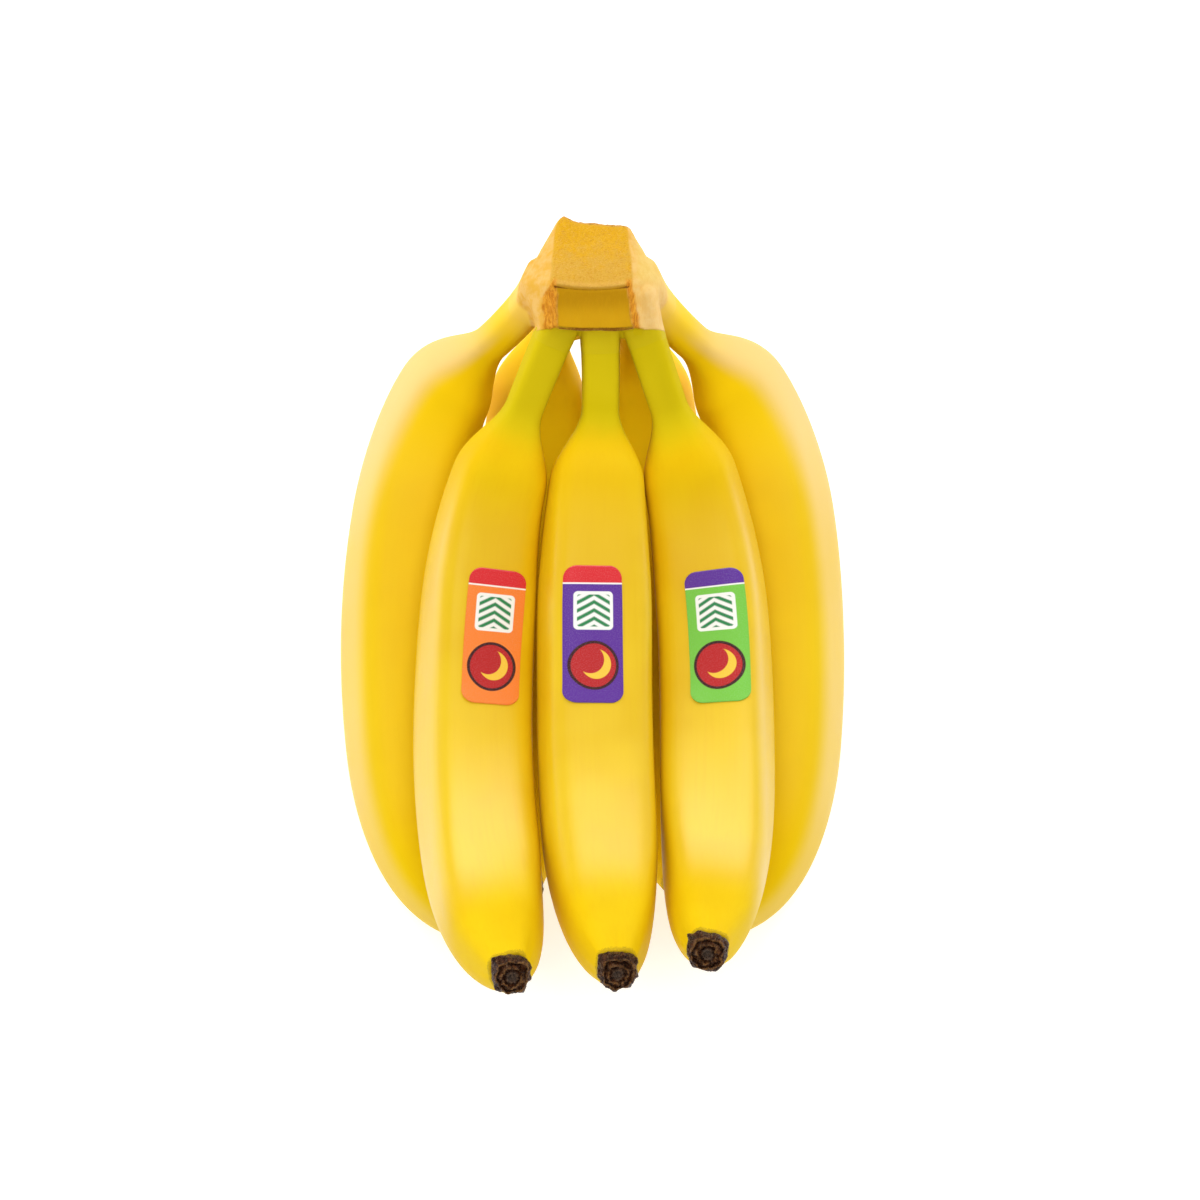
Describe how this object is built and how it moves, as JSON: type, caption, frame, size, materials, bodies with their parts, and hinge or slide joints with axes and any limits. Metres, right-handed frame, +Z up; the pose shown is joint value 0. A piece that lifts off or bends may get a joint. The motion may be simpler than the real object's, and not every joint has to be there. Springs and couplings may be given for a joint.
{
  "type": "bunch of bananas",
  "caption": "Hand of ripe yellow bananas in two nested rows on a cut crown, lying on its back with the dark blossom ends curling up and plain fruit labels.",
  "frame": {"origin": "on the surface that the hand lies on, under the middle of its box", "axes": "+X across the hand to the right, +Y from the blossom ends to the crown, +Z up out of the hollow side of the fingers"},
  "size_m": [0.1519, 0.2289, 0.1061],
  "materials": {
    "banana_skin": "satin",
    "crown_flesh": "matte",
    "dried_flower": "satin",
    "label_orange": "satin",
    "label_purple": "satin",
    "label_green": "satin"
  },
  "bodies": {
    "root": {"crown": "crown_flesh", "banana_upper_left": "banana_skin", "banana_upper_middle": "banana_skin", "banana_upper_right": "banana_skin", "banana_lower_outer_left": "banana_skin", "banana_lower_inner_left": "banana_skin", "banana_lower_inner_right": "banana_skin", "banana_lower_outer_right": "banana_skin", "blossom_tip_upper_left": "dried_flower", "blossom_tip_upper_middle": "dried_flower", "blossom_tip_upper_right": "dried_flower", "blossom_tip_lower_outer_left": "dried_flower", "blossom_tip_lower_inner_left": "dried_flower", "blossom_tip_lower_inner_right": "dried_flower", "blossom_tip_lower_outer_right": "dried_flower", "label_upper_left": "label_orange", "label_upper_middle": "label_purple", "label_upper_right": "label_green"}
  },
  "joints": []
}
